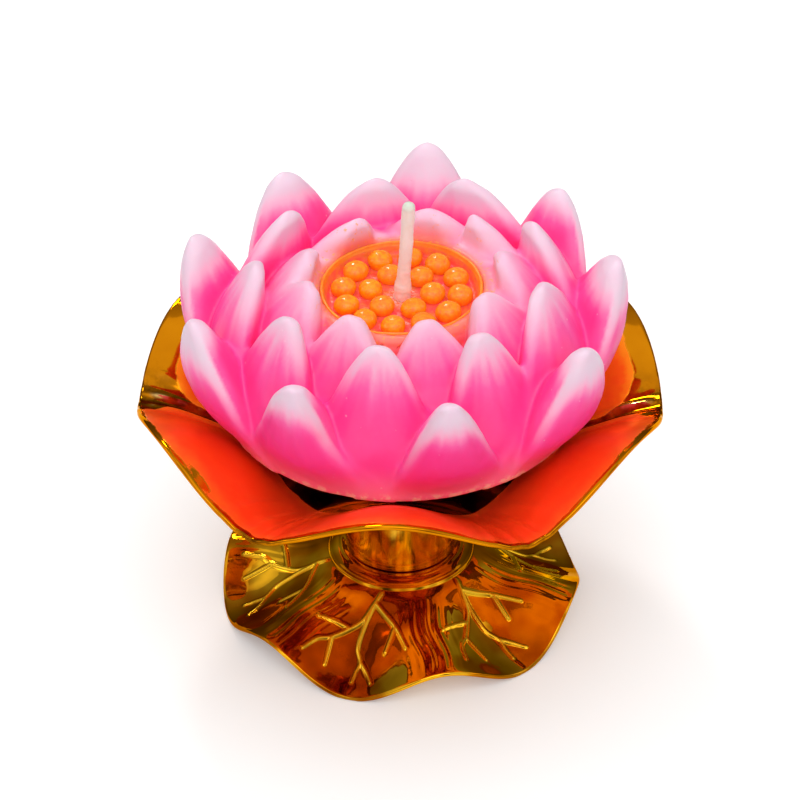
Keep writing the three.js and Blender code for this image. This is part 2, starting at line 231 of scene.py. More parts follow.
class Nodes:
    """A node tree, and short calls to add nodes to it."""

    def __init__(self, tree):
        self.tree = tree
        tree.nodes.clear()

    def set(self, socket, value):
        if isinstance(value, bpy.types.Node):
            value = value.outputs[0]
        if isinstance(value, bpy.types.NodeSocket):
            self.tree.links.new(value, socket)
        else:
            socket.default_value = rgba(value) if isinstance(value, str) else value

    def add(self, kind, settings=None, **inputs):
        """A node. Its inputs go by name, or by number as in i0."""
        node = self.tree.nodes.new("ShaderNode" + kind)
        for key, value in (settings or {}).items():
            setattr(node, key, value)
        for key, value in inputs.items():
            numbered = key[0] == "i" and key[1:].isdigit()
            self.set(node.inputs[int(key[1:]) if numbered else key.replace("_", " ")], value)
        return node

    def math(self, kind, a, b, clamp=False):
        return self.add("Math", {"operation": kind, "use_clamp": clamp}, i0=a, i1=b).outputs[0]

    def seen(self):
        """1 for what the camera sees, itself or in a mirror or through glass, and else 0."""
        rays = self.add("LightPath").outputs
        direct = self.math("MAXIMUM", rays["Is Camera Ray"], rays["Is Glossy Ray"])
        return self.math("MAXIMUM", direct, rays["Is Transmission Ray"])


class Look(Nodes):
    """A material with one principled shader."""

    def __init__(self, name, **settings):
        self.material = bpy.data.materials.new(name)
        self.material.use_nodes = True
        super().__init__(self.material.node_tree)
        self.shader = self.add("BsdfPrincipled")
        self.add("OutputMaterial", Surface=self.shader)
        self.use(**settings)

    def use(self, **inputs):
        """Sets the shader's inputs and gives the material."""
        for key, value in inputs.items():
            self.set(self.shader.inputs[key.replace("_", " ")], value)
        return self.material

    def times(self, a, b, clamp=False):
        return self.math("MULTIPLY", a, b, clamp)

    def plus(self, a, b, clamp=False):
        return self.math("ADD", a, b, clamp)

    def attribute(self, name, gain=None):
        """The number that the mesh holds for each vertex, times the gain."""
        value = self.add("Attribute", {"attribute_name": name}).outputs["Fac"]
        return value if gain is None else self.times(value, gain)

    def place(self, stretch):
        where = self.add("TexCoord").outputs["Object"]
        return self.add("Mapping", Vector=where, Scale=stretch).outputs[0]

    def noise(self, size_mm, detail, rough, stretch=(1, 1, 1)):
        """Clouds of about that size, between 0 and 1."""
        scale, where = 1 / (size_mm * MM), self.place(stretch)
        clouds = self.add("TexNoise", Vector=where, Scale=scale, Detail=detail, Roughness=rough)
        return clouds.outputs["Fac"]

    def line(self, start, gain, value):
        """The start plus the value times the gain."""
        return self.plus(start, self.times(value, gain))

    def swing(self, noise, size):
        """Noise spread about zero."""
        return self.times(self.math("SUBTRACT", noise, 0.5), size)

    def soft(self, value, low, high):
        """0 below low and 1 above high, with a soft step between."""
        smooth = {"interpolation_type": "SMOOTHSTEP"}
        return self.add("MapRange", smooth, Value=value, From_Min=low, From_Max=high).outputs[0]

    def ramp(self, value, *stops):
        """A value, or noise of (size, detail, rough), turned to tones by stops of (value, tone)."""
        value = self.noise(*value) if isinstance(value, tuple) else value
        node = self.add("ValToRGB", Fac=value)
        elements = node.color_ramp.elements
        while len(elements) < len(stops):
            elements.new(0.5)
        for element, (at, tone) in zip(elements, stops):
            element.position, element.color = at, rgba(tone)
        return node.outputs["Color"]

    def blend(self, share, a, b):
        return self.add("Mix", {"data_type": "RGBA"}, i0=share, i6=a, i7=b).outputs[2]

    def with_stains_and_painted_light(self, tone, *stains):
        """The tone under layers of (share, colour), the first one lowest: real stains and marks,
        and also painted shade, painted highlights and painted reflections.
        """
        for share, layer_colour in stains:
            tone = self.blend(share, tone, layer_colour)
        return tone

    def bump(self, height, strength, depth_mm, **under):
        size = dict(Strength=strength, Distance=depth_mm * MM)
        return self.add("Bump", Height=height, **size, **under).outputs[0]


# The leaf foot: shares of its drop along a lobe's middle and along a fold
FOOT_ROWS = [
    (0, 0, 0), (0.08, 0.07, 0.1), (0.22, 0.26, 0.35), (0.42, 0.52, 0.62),
    (0.62, 0.76, 0.8), (0.82, 0.93, 0.93), (1, 1, 1),
]
foot_lobe_curve, foot_fold_curve = smooth_curves(FOOT_ROWS)
LEAF_TOP = FOOT_TOP - COLLAR_DROP - COLLAR_STEP
FOOT_PITCH, FOOT_GRID = TURN / FOOT_LOBES, (74, 840)
PLEAT_PITCH, PLEAT_REACH, PLEAT_RISE = 2.1, 4.2, 0.085


def foot_height(share, angle):
    fold = (1 + np.cos(FOOT_LOBES * (angle - FOOT_FOLD_ANGLE))) / 2
    lobe = mix(LEAF_TOP, FOOT_RIM_TOP, foot_lobe_curve(share))
    raised = mix(LEAF_TOP, FOOT_RIM_TOP + FOOT_FOLD_RISE, foot_fold_curve(share))
    return mix(lobe, raised, fold) + fold_pleats(share, angle)


def fold_pleats(share, angle):
    """Fine pleats pressed along each fold of the leaf."""
    radius = mix(COLLAR, FOOT_RIM, share)
    fold = np.round((angle - FOOT_FOLD_ANGLE) / FOOT_PITCH)
    aside = radius * (angle - FOOT_FOLD_ANGLE - fold * FOOT_PITCH)
    way = TURN * (aside + 0.5 * np.sin(radius / 2.6 + fold)) / PLEAT_PITCH
    wave = np.sin(way) + 0.5 * np.sin(way * 1.7 + radius / 4)
    return PLEAT_RISE * wave * bell(aside, PLEAT_REACH) * between((0.05, 0.3), (0.9, 1), share)


# Vein sprig of one lobe: strokes of (radius, degrees from the lobe's middle)
VEINS = [
    ((16.8, 2.5), (17.8, 1.2), (18.9, 0)),
    ((18.9, 0), (21, 7.5), (23.6, 13.6), (26.6, 17), (29.4, 19)),
    ((23.8, 13.7), (26.2, 11.8), (28.9, 10)),
    ((18.9, 0), (21.2, -1.6), (23.8, -2.6), (27.9, -2.4), (30.5, 0.2), (33, -0.4), (35.4, -0.6)),
    ((30.5, 0.2), (32.8, 3.8), (35.5, 6.2)),
    ((18.9, 0), (22.7, -4.4), (25.1, -8.9), (28.8, -14.8), (31.2, -18.6), (35.2, -20.2)),
    ((25.1, -8.9), (25.6, -17), (26.8, -24.4)),
    ((28.8, -14.6), (31.6, -13), (34.6, -11.6)),
]
VEIN_HALF_WIDTH, VEIN_HEIGHT = 0.7, 0.38


def curve_points(points, steps):
    """Points of a smooth curve through the given ones."""
    p = np.array(points, float)
    p = np.vstack([2 * p[0] - p[1], p, 2 * p[-1] - p[-2]])
    t = np.linspace(0, 1, steps, endpoint=False)[:, None]
    spans = [
        0.5 * (2 * b + (c - a) * t + (2 * a - 5 * b + 4 * c - d) * t * t
               + (3 * b - a - 3 * c + d) * t ** 3)
        for a, b, c, d in zip(p, p[1:], p[2:], p[3:])
    ]
    return np.vstack([*spans, p[-2]])


def vein_rise(radius, angle):
    """How far the pressed veins stand up at these places."""
    middle = np.round((angle - FOOT_FOLD_ANGLE) / FOOT_PITCH - 0.5) + 0.5
    local = angle - FOOT_FOLD_ANGLE - middle * FOOT_PITCH
    x, y = radius * np.cos(local), radius * np.sin(local)
    rise = np.zeros_like(radius)
    for number, stroke in enumerate(VEINS):
        r, a = np.array(stroke, float).T
        line = curve_points(around(r, np.radians(a), 0 * r), 8)
        length = np.linalg.norm(line[-1] - line[0])
        half = VEIN_HALF_WIDTH * (1.15 if number == 0 else 1)
        near = np.full_like(radius, FAR)
        for a, b in zip(line, line[1:]):
            near = np.minimum(near, to_stretch(x, y, a, b))
        near, end = np.sqrt(near), np.hypot(x - line[-1, 0], y - line[-1, 1])
        taper = mix(0.75, 1, smoothstep(0, max(length * 0.8, 1), end))
        across = np.clip(near / (half * taper), 0, 1)
        rise = np.maximum(rise, VEIN_HEIGHT * (1 + np.cos(math.pi * across)) / 2)
    return rise


def sheet_rows(grid, inner, outer, height_at, wall):
    """Shares, top rows, upward normals, rim arc and underside rows of a wavy pressed sheet."""
    shares, angle = np.linspace(0, 1, grid[0]), steps_round(grid[1])
    step = 1e-3

    def surface(share, theta):
        return around(mix(inner, outer - wall / 2, share), theta, height_at(share, theta))

    share, theta = np.meshgrid(shares, angle, indexing="ij")
    top = surface(share, theta)
    low, high = np.clip(share - step, 0, 1), np.clip(share + step, 0, 1)
    along = surface(high, theta) - surface(low, theta)
    up = unit(np.cross(along, surface(share, theta + step) - surface(share, theta - step)))
    middle = top[-1] - up[-1] * wall / 2
    rim = [
        middle + wall / 2 * (up[-1] * math.cos(t) + unit(along[-1]) * math.sin(t))
        for t in np.linspace(0, math.pi, 9)[1:-1]
    ]
    return shares, top, up, np.array(rim), (top - up * wall)[::-1]


# The collar's socket, flat, slope with a plain raised band, and step down to the leaf: radius, and
# height above the flat
FOOT_COLLAR = [
    (SOCKET_BORE, -FOOT_WALL), (SOCKET_BORE, SOCKET_DEPTH), (SOCKET_RADIUS - 0.3, SOCKET_DEPTH),
    (SOCKET_RADIUS, SOCKET_DEPTH - 0.3), (SOCKET_RADIUS, 0.1), (SOCKET_RADIUS + 0.1, 0),
    (COLLAR_FLAT - 0.5, 0), (COLLAR_FLAT - 0.25, -0.03), (COLLAR_FLAT, -0.12),
    (COLLAR_FLAT + 0.2, -0.3), (COLLAR_FLAT + 0.42, -0.36), (COLLAR_FLAT + 0.75, -0.4),
    (COLLAR_FLAT + 1.2, -0.62), (COLLAR_FLAT + 1.65, -0.85), (COLLAR_FLAT + 1.85, -1.05),
    (COLLAR - 0.45, -1.2), (COLLAR - 0.2, -1.32), (COLLAR - 0.03, -1.5),
]


def build_foot():
    rows, cols = FOOT_GRID
    shares, top, up, rim, under = sheet_rows(FOOT_GRID, COLLAR, FOOT_RIM, foot_height, FOOT_WALL)
    rise = vein_rise(*polar(top))
    ripple = wave_noise(top, 9, 11) * 0.035 * smoothstep(0, 0.1, shares)[:, None]
    top = top + up * (rise + ripple)[..., None]
    collar = lathe([(r, FOOT_TOP + z) for r, z in FOOT_COLLAR], cols)
    inner = [(COLLAR - 0.6, LEAF_TOP - FOOT_WALL + 0.15), (COLLAR_FLAT, FOOT_TOP - FOOT_WALL)]
    points = np.concatenate([collar, top, rim, under[::5], lathe(inner, cols)])
    points[..., 2] = np.maximum(points[..., 2], 0)
    vein = np.zeros(points.shape[:2])
    vein[len(collar) : len(collar) + rows] = rise / VEIN_HEIGHT
    # The lowest field marks painted shade: the foot's colour darkens over its bottom few
    # millimetres, next to the floor.
    return mesh_piece(
        "leaf_foot_moulding", points, band_faces(len(points), cols),
        vein=vein, lowest=1 - smoothstep(1, 5, points[..., 2]),
    )


def build_stem():
    top, middle = STEM_BOTTOM + STEM_LENGTH, STEM_BOTTOM + STEM_LENGTH / 2
    profile = [
        (STEM_BORE, STEM_BOTTOM), (STEM_RADIUS, STEM_BOTTOM), (STEM_RADIUS, middle),
        (STEM_RADIUS + STEM_FLARE, top), (STEM_BORE, top),
    ]
    return turned("stem_sleeve", rounded(profile, 0.35, 5), 256)


# The petal bowl: shares of its rise along a petal's middle and along a notch
BOWL_ROWS = [
    (0, 0, 0), (0.12, 0.06, 0.02), (0.25, 0.19, 0.08), (0.36, 0.33, 0.18), (0.48, 0.53, 0.34),
    (0.57, 0.65, 0.48), (0.68, 0.79, 0.65), (0.79, 0.905, 0.81), (0.9, 0.975, 0.92), (1, 1, 1),
]
bowl_crest_curve, bowl_notch_curve = smooth_curves(BOWL_ROWS)
BOWL_PITCH, BOWL_GRID = TURN / BOWL_PETALS, (84, 820)
# Degrees from a notch, height in millimetres and width in degrees of the pleats that run into it
PLEATS = [
    (-7.5, 0.3, 1.2), (-4.4, -0.34, 1.1), (-2, 0.28, 0.8),
    (2.2, 0.34, 0.9), (4.6, -0.36, 1.2), (8, 0.26, 1.4),
]


def notch_offset(angle):
    """Degrees from the nearest notch of the bowl."""
    return np.degrees((angle - BOWL_NOTCH_ANGLE + BOWL_PITCH / 2) % BOWL_PITCH - BOWL_PITCH / 2)


def bowl_height(share, angle):
    turn = np.abs(np.sin(BOWL_PETALS / 2 * (angle - BOWL_NOTCH_ANGLE)))
    crest = BOWL_CREST_RISE * bowl_crest_curve(share)
    notch = BOWL_NOTCH_RISE * bowl_notch_curve(share)
    off = notch_offset(angle)
    depth = smoothstep(0.4, 0.7, share) * (1 - 0.6 * smoothstep(0.9, 1, share))
    pleats = sum(rise * bell(off - at, width) for at, rise, width in PLEATS)
    return BOWL_FLOOR + mix(notch, crest, turn ** BOWL_SHARPNESS) + depth * pleats


def notch_shade_and_glints(radius, angle):
    """How near a notch of the bowl each place is, for painted shade there, and how much it lies on
    the crest of a pleat, for painted glints.
    """
    off = notch_offset(angle)
    outward = smoothstep(36, 42, radius)
    full = max(rise for _, rise, _ in PLEATS)
    crest = sum(max(rise, 0) / full * bell(off - at, width / 1.6) for at, rise, width in PLEATS)
    inner = outward * (1 - smoothstep(52, 54, radius)) * bell(off, 5, 4)
    return outward * bell(off, 7), np.clip(crest, 0, 1) * inner


# Outer edge of the paint on each bowl petal, counted from the back one leftward round
PAINT_EDGE = [49.6, 49.3, 54.5, 54.6, 54.5, 50.5]
# Inside where the paint starts, the bowl is painted dark brown as painted shade and a painted dark
# reflection under the candle, fading out outward over the last of these millimetres.
PAINT_START, PAINT_CORNER, BARE_NOTCH, CANDLE_SHADE_FADE = 31.5, 9.0, 0.9, 3.0
MISSED_SPOT, MISSED_SIZE = (53.7, 222.0), (1.0, 3.4)


def paint_reach(radius, angle):
    """How far inside the edge of the orange paint each place of the bowl lies."""
    turn = (angle - BOWL_NOTCH_ANGLE) / BOWL_PITCH - 0.5
    petal = np.round(turn).astype(int)
    off = (turn - petal) * BOWL_PITCH
    petal = petal % BOWL_PETALS
    # The front petal's paint runs on into its neighbours over the two front notches
    joined = (petal == 3) | ((petal == 2) & (off > 0)) | ((petal == 4) & (off < 0))
    sideways = np.where(joined, 30.0, (BOWL_PITCH / 2 - np.abs(off)) * radius - BARE_NOTCH)
    over = np.array(PAINT_EDGE)[petal] - radius
    corner = PAINT_CORNER - np.hypot(
        np.maximum(PAINT_CORNER - over, 0), np.maximum(PAINT_CORNER - sideways, 0)
    )
    inside = np.minimum(np.minimum(over, sideways), corner)
    away = np.hypot(
        (radius - MISSED_SPOT[0]) / MISSED_SIZE[0],
        wrapped(angle - math.radians(MISSED_SPOT[1])) * radius / MISSED_SIZE[1],
    )
    inside = np.minimum(inside, (away - 1) * MISSED_SIZE[0])
    return np.minimum(inside, radius - PAINT_START)


def build_bowl():
    rows, cols = BOWL_GRID
    shares, top, up, rim, under = sheet_rows(
        BOWL_GRID, BOWL_FLOOR_RADIUS, BOWL_RIM, bowl_height, BOWL_WALL
    )
    ripple = wave_noise(top, 14, 5) * 0.05 * smoothstep(0.05, 0.2, shares)[:, None]
    top = top + up * ripple[..., None]
    low = BOWL_FLOOR - BOWL_WALL
    floor = lathe([(r, BOWL_FLOOR) for r in (0.4, 6, 12, 16, 18.4)], cols)
    socket = [
        (SOCKET_RADIUS + 2, low), (SOCKET_RADIUS + 0.15, low), (SOCKET_RADIUS, low - 0.15),
        (SOCKET_RADIUS, low - SOCKET_DEPTH + 0.3), (SOCKET_RADIUS - 0.3, low - SOCKET_DEPTH),
        (SOCKET_BORE, low - SOCKET_DEPTH), (SOCKET_BORE, low - 0.1), (SOCKET_BORE - 0.2, low),
        (0.4, low),
    ]
    points = np.concatenate([floor, top, rim, under[::6], lathe(socket, cols)])
    radius, angle = polar(points)
    painted, shown = slice(len(floor), len(floor) + rows), slice(len(floor) + rows)
    paint, deep = np.full(radius.shape, -9.0), np.zeros(radius.shape)
    paint[painted] = paint_reach(radius[painted], angle[painted])
    # Painted shade under the candle: 1 inside the paint's start, fading to 0 a few millimetres
    # outward.
    deep[shown] = 1 - smoothstep(PAINT_START, PAINT_START + CANDLE_SHADE_FADE, radius[shown])
    # Painted shade in the notches, and painted glints on the crests of the pleats beside them.
    notch, crest = notch_shade_and_glints(radius, angle)
    return mesh_piece(
        "petal_bowl_moulding", points, band_faces(len(points), cols),
        paint=paint, back=smoothstep(-8, 10, points[..., 1]), deep=deep, notch=notch, crest=crest,
    )


# The three rings of petals, outer first. A petal's face runs from foot past bend to tip, given as
# (radius, height). Then come its thickness at foot and bend, its half width and how it narrows, how
# far its sides lie behind its middle, and the azimuth of petal 0. Each petal has its own stray
# outward in shares of the radius, turn in shares of the pitch, rise of the tip, widening of its
# clockwise and counter-clockwise side at the base and at the shoulders, bulge at the bend, and
# fall of the white on its back.
RINGS = [
    dict(foot=(36.4, 0), bend=(48.6, 17), tip=(45.4, 32.7), thick=(12, 19), half=18.4, taper=0.63,
         drop=3.4, first=81.9,
         stray=(0.049, -0.019, 0, 0.028, 0.024, -0.022, 0.002, 0.018, -0.006),
         turn=(0.016, -0.075, 0.02, 0, -0.01, -0.023, -0.033, 0.005, 0.07),
         rise={0: 1.3, 1: 1, 3: -0.4, 4: -0.9, 5: -0.8, 6: -0.6, 8: 0.9},
         sides={3: (0.78, 1), 4: (0.7, 0.86), 5: (1.06, 0.72), 6: (1, 0.95)},
         shoulders={0: (1.16, 1.12), 1: (1.3, 0.96), 2: (1.3, 1.42), 3: (0.92, 1.08),
                    4: (0.68, 0.84), 5: (1.06, 0.54), 6: (1.06, 1.15), 7: (1.1, 1.35),
                    8: (1.08, 1.3)},
         bulge={1: 1.2, 2: 2.6, 3: 4, 6: 4, 7: 4.4, 8: 1},
         pale={0: 4.5, 1: -0.5, 2: 1.6, 6: -1.5, 7: 2.5, 8: 1}),
    dict(foot=(39, 2), bend=(38.6, 18), tip=(30, 35.3), thick=(12, 16), half=20, taper=0.65,
         drop=2.6, first=61.9,
         stray=(0.05, 0.025, 0.02, 0.03, 0.013, 0.01, 0, 0, 0),
         turn=(0.045, 0.055, -0.038, -0.04, -0.012, -0.018, -0.012, 0.028, -0.058),
         rise={0: 1.2, 7: 0.4, 8: 1.1},
         sides=dict.fromkeys(range(9), (1.6, 1.6)),
         shoulders={0: (1.75, 1.05), 1: (1.5, 1), 2: (1.45, 1.2), 3: (0.72, 1), 4: (1, 0.86),
                    5: (1.1, 0.8), 6: (1.3, 1.3), 7: (1.05, 1.55), 8: (1.05, 1.45)},
         bulge={0: 3, 1: 5, 2: 4, 5: 3, 6: 7, 7: 6}),
    dict(foot=(33, 6), bend=(30.5, 23), tip=(20.5, 34.7), thick=(12, 14), half=20, taper=0.7,
         drop=1.6, first=81.9,
         stray=(0.01, 0.12, 0.04, 0.02, 0.045, 0.04, -0.015, -0.04, -0.09),
         turn=(-0.26, 0.135, 0.108, 0.065, 0.053, -0.02, -0.033, 0.135, -0.095),
         shoulders={0: (1.3, 1.35), 1: (1.5, 0.45), 2: (1.3, 1.2), 3: (1, 1.15), 6: (1.3, 1.2),
                    7: (1.3, 1.4), 8: (0.75, 1.85)},
         bulge={1: 2, 2: 4, 3: 2, 6: 4, 7: 4, 8: 2}),
]
TIP_THICK, TIP_HALF, EDGE_THICK, BACK_FALL, DROP_POWER = 2.2, 1.35, 2.4, 1.3, 1.2
# How round the petals' edges are, at most and as a share of the thickness
EDGE_ROUND, EDGE_SHARE = 1.1, 0.44
# For each ring: how late its petals thin out towards their sides
THINNING = (2, 2, 4)


class Petal:
    """One petal of the wax casting, with its outer face as a curve from foot to tip."""

    def __init__(self, ring, number):
        self.ring, self.shape = ring, RINGS[ring]

        def own(key, usual):
            return self.shape.get(key, {}).get(number, usual)

        stray = self.shape["stray"][number] * self.shape["tip"][0]
        turn = self.shape["turn"][number] - number
        self.middle = math.radians(self.shape["first"]) + TURN / PETALS * turn
        self.a = np.array(self.shape["foot"], float)
        self.b = np.array(self.shape["bend"], float) + (stray / 2 + own("bulge", 0), 0)
        self.c = np.array(self.shape["tip"], float) + (stray, own("rise", 0))
        self.sides, self.shoulders = own("sides", (1, 1)), own("shoulders", (1, 1))
        self.pale = own("pale", 0)

    def below(self, height, least=0):
        """How far below the tip a height lies, as a share of the petal's own height."""
        return np.clip((self.c[1] - height) / (self.c[1] - self.a[1]), least, 1)

    def at(self, share):
        """Radius, height, half width, edge drop and thickness at a share from foot to tip."""
        s, shape = share, self.shape
        radius, height = (
            (1 - s) ** 2 * a + 2 * s * (1 - s) * b + s * s * c
            for a, b, c in zip(self.a, self.b, self.c)
        )
        half = shape["half"] * self.below(height) ** shape["taper"]
        drop = shape["drop"] * np.sin(math.pi * np.clip(s, 0, 1) ** DROP_POWER)
        foot, bend = shape["thick"]
        return radius, height, half, drop, mix(mix(foot, bend, s), mix(bend, TIP_THICK, s), s)

    def wall(self, u, thick):
        """How thick the petal is at a share u of its half width from the middle."""
        return mix(thick, np.minimum(EDGE_THICK, thick), np.abs(u) ** THINNING[self.ring])

    def share_of(self, height):
        """The share at which the face reaches a height."""
        a, b, c = self.a[1], self.b[1], self.c[1]
        k2, k1, k0 = a - 2 * b + c, 2 * (b - a), a - height
        if abs(k2) < 1e-6:
            return np.clip(-k0 / k1, 0, 1)
        root = np.sqrt(np.clip(k1 * k1 - 4 * k2 * k0, 0, None))
        return np.clip((-k1 + root) / (2 * k2), 0, 1)

    def side(self, share, aside):
        """How much wider than its half width the petal is on that side: base, shoulder, tip."""
        base, shoulder = (np.where(aside > 0, w[1], w[0]) for w in (self.sides, self.shoulders))
        base = mix(base, shoulder, smoothstep(0.15, 0.6, share))
        return mix(base, 1, smoothstep(0.92, 1.06, share))

    def place(self, radius, angle, height):
        """Where points lie: share, side share u, depth under the face, wall, distance beside it."""
        share = self.share_of(height)
        face, _, half, drop, thick = self.at(share)
        aside = wrapped(angle - self.middle) * face
        half = np.maximum(half * self.side(share, aside), TIP_HALF)
        u = np.clip(aside / half, -1, 1)
        depth = face - drop * u * u - radius
        return share, u, depth, self.wall(u, thick), np.abs(aside) - half

    def gap(self, radius, angle, height):
        """Distance from the petal's surface, negative inside it."""
        share, _, depth, wall, beside = self.place(radius, angle, height)
        rise = [
            2 * (1 - share) * (b - a) + 2 * share * (c - b)
            for a, b, c in zip(self.a, self.b, self.c)
        ]
        lean = 1 / np.sqrt(1 + (rise[0] / rise[1]) ** 2)
        half, taper = self.shape["half"], self.shape["taper"]
        narrowing = half * taper * self.below(height, 0.02) ** (taper - 1)
        steep = 1 / np.sqrt(1 + (narrowing / (self.c[1] - self.a[1])) ** 2)
        edge = np.minimum(EDGE_SHARE * wall * lean, EDGE_ROUND)
        across = np.abs(depth - wall / 2) * lean - wall / 2 * lean + edge
        aside = beside * steep + edge
        above = height - self.c[1] + BACK_FALL * np.clip(depth / wall, 0, 1) + edge
        under = self.a[1] - height + edge
        walls = np.stack([across, aside, above, under])
        outside = np.sqrt((np.maximum(walls, 0) ** 2).sum(0))
        return outside + np.minimum(walls.max(0), 0) - edge

    def mesh(self, rows=26, columns=17):
        """Closed loops of the blade, from its foot to its tip."""
        s = 1 - (1 - np.linspace(0, 1, rows)[:, None]) ** 1.6
        across = np.linspace(-1, 1, columns)
        u, depth = np.concatenate([across, across[::-1]]), np.repeat((0, 1), columns)
        radius, height, half, drop, thick = self.at(s)
        angle = self.middle + u * np.maximum(half * self.side(s, u), TIP_HALF) / radius
        reach = radius - drop * u * u - depth * self.wall(u, thick)
        return around(reach, angle, height - depth * BACK_FALL * s)


petals = [Petal(ring, number) for ring in range(3) for number in range(PETALS)]

GAP, CORE_STEPS = 0.02, 120
CORE = [
    (10.3, 0), (BODY_FOOT - 0.3, 0), (37.5, 5), (37.7, 9), (36.6, 14.5), (30.5, 20), (25, 25.6),
    (POD_RADIUS + 3.5, POD_RIM_HEIGHT - 0.7), (POD_RADIUS + 1, POD_RIM_HEIGHT - 0.15),
    (POD_RADIUS + GAP, POD_RIM_HEIGHT - 0.2), (POD_RADIUS + GAP, POD_BOTTOM - 0.3),
    (1.55, POD_BOTTOM - 0.3), (1.55, 4.5), (2.65, 4.5), (2.65, 1.1), (10.3, 1.1),
]
# How far the core's top drops outside the pod at the front
FRONT_DIP = 5.0
# How softly the petals run into each other, within what angle from its middle a petal is felt,
# how fine the casting's skin is, also for a quick try, and how much its foot is cut back
BLEND, PETAL_SPAN, SKIN, QUICK_SKIN, BASE_TRIM = 0.7, 0.8, 0.65, 0.8, 1.0
# In how many rounds the casting's points settle, how far in one, and by what share of the way left
SETTLE_ROUNDS, SETTLE_STEP, SETTLE_SHARE = 7, 0.6, 0.9


def front_dip(radius, angle):
    """How much lower the core lies there than its profile says."""
    near_pod = between((18.3, 20.2), (23, 30), radius)
    return FRONT_DIP * smoothstep(0.3, 0.85, -np.sin(angle)) * near_pod


def wax_blank():
    """The core and all the petals as closed shapes that still run into each other."""
    verts, faces = [], []

    def add(loops, quads):
        start = sum(len(v) for v in verts)
        verts.append(loops.reshape(-1, 3))
        faces.extend((quads + start).tolist())
        return start

    for petal in petals:
        loops = petal.mesh()
        rows, cols = loops.shape[:2]
        start = add(loops, band_faces(rows, cols, closed=False))
        faces.append((np.arange(cols)[::-1] + start).tolist())
        faces.append((np.arange(cols) + start + (rows - 1) * cols).tolist())
    core, (radius, height) = lathe(CORE, CORE_STEPS), np.array(CORE).T[..., None]
    core[..., 2] -= front_dip(radius, steps_round(CORE_STEPS)) * (height > POD_BOTTOM)
    add(core, band_faces(len(CORE), CORE_STEPS)[:, ::-1])
    return np.concatenate(verts), faces


def core_gap(radius, height):
    """Distance from the core's turned profile, negative inside it."""
    near, inside = np.full_like(radius, FAR), np.zeros(len(radius), bool)
    for start, end in zip(CORE, CORE[1:] + CORE[:1]):
        near = np.minimum(near, to_stretch(radius, height, start, end))
        (r0, z0), (r1, z1) = start, end
        if z0 != z1:
            crosses = (z0 > height) != (z1 > height)
            inside ^= crosses & (radius < r0 + (height - z0) / (z1 - z0) * (r1 - r0))
    return np.sqrt(near) * np.where(inside, -1, 1)


def wax_gap(points):
    """Distance from the surface of the whole casting, with soft valleys between the petals."""

    def share(gap):
        return np.exp(-np.clip(gap, -12, 12) / BLEND)

    (radius, angle), height = polar(points), points[:, 2]
    total = share(core_gap(radius, height + front_dip(radius, angle)))
    for petal in petals:
        near = np.abs(wrapped(angle - petal.middle)) < PETAL_SPAN
        total[near] += share(petal.gap(radius[near], angle[near], height[near]))
    gap = BASE_TRIM * (1 - smoothstep(0, 13, height)) - BLEND * np.log(total)
    well = np.where(height > POD_BOTTOM - 0.3, POD_RADIUS + GAP - radius, -9)
    return np.maximum(np.maximum(gap, well), -height)


def gathered(where, values, size):
    """Sums of the values that go to each point."""
    return np.stack([np.bincount(where, values[:, axis], size) for axis in range(3)], -1)


def mesh_normals(points, quads):
    """Normals of the points of a mesh of quads."""
    a, b, c, d = (points[quads[:, k]] for k in range(4))
    face = np.cross(c - a, d - b)
    return unit(sum(gathered(quads[:, k], face, len(points)) for k in range(4)))


def settle(points, quads, rounds):
    """The points brought onto the casting's surface, evened out in all but the last two rounds."""
    size = len(points)
    a, b = quads.ravel(), np.roll(quads, -1, axis=1).ravel()
    count = np.bincount(a, minlength=size) + np.bincount(b, minlength=size)
    for turn in range(rounds):
        if turn < rounds - 2:
            even = gathered(a, points[b], size) + gathered(b, points[a], size)
            points = mix(points, even / count[:, None], 0.5)
        gap = np.clip(wax_gap(points), -SETTLE_STEP, SETTLE_STEP)
        points = points - mesh_normals(points, quads) * gap[:, None] * SETTLE_SHARE
    return points


# Fan streaks of a petal: waves across it, and how much each adds
STREAKS = [(5.5, 0.4), (9.5, 0.42), (15, 0.35), (24, 0.25)]
# For each ring: how far below the tip the white holds, where it ends, how white it is, its streaks,
# on the face and on the back. Then how white the petals' edges are, and where that fades.
WHITE_REACH = [(2.4, 12.0, 1.0, 0.75), (0.6, 15.5, 0.95, 2.0), (-0.5, 17.0, 0.85, 1.6)]
BACK_REACH = [(0.6, 8.0, 1.0, 0.5), (1.6, 12.5, 0.95, 0.6), (2.0, 14.0, 0.85, 0.6)]
EDGE_WHITE, EDGE_FADE = (0.7, 0.4, 0.3), [(10, 26), (5, 15), (5, 14)]
BACK_EDGE_WHITE = 0.25
# Over what distance the colours of two petals, or of a petal's face and back, run into each other
PETAL_BLUR, SIDE_BLUR = 0.35, 1.4


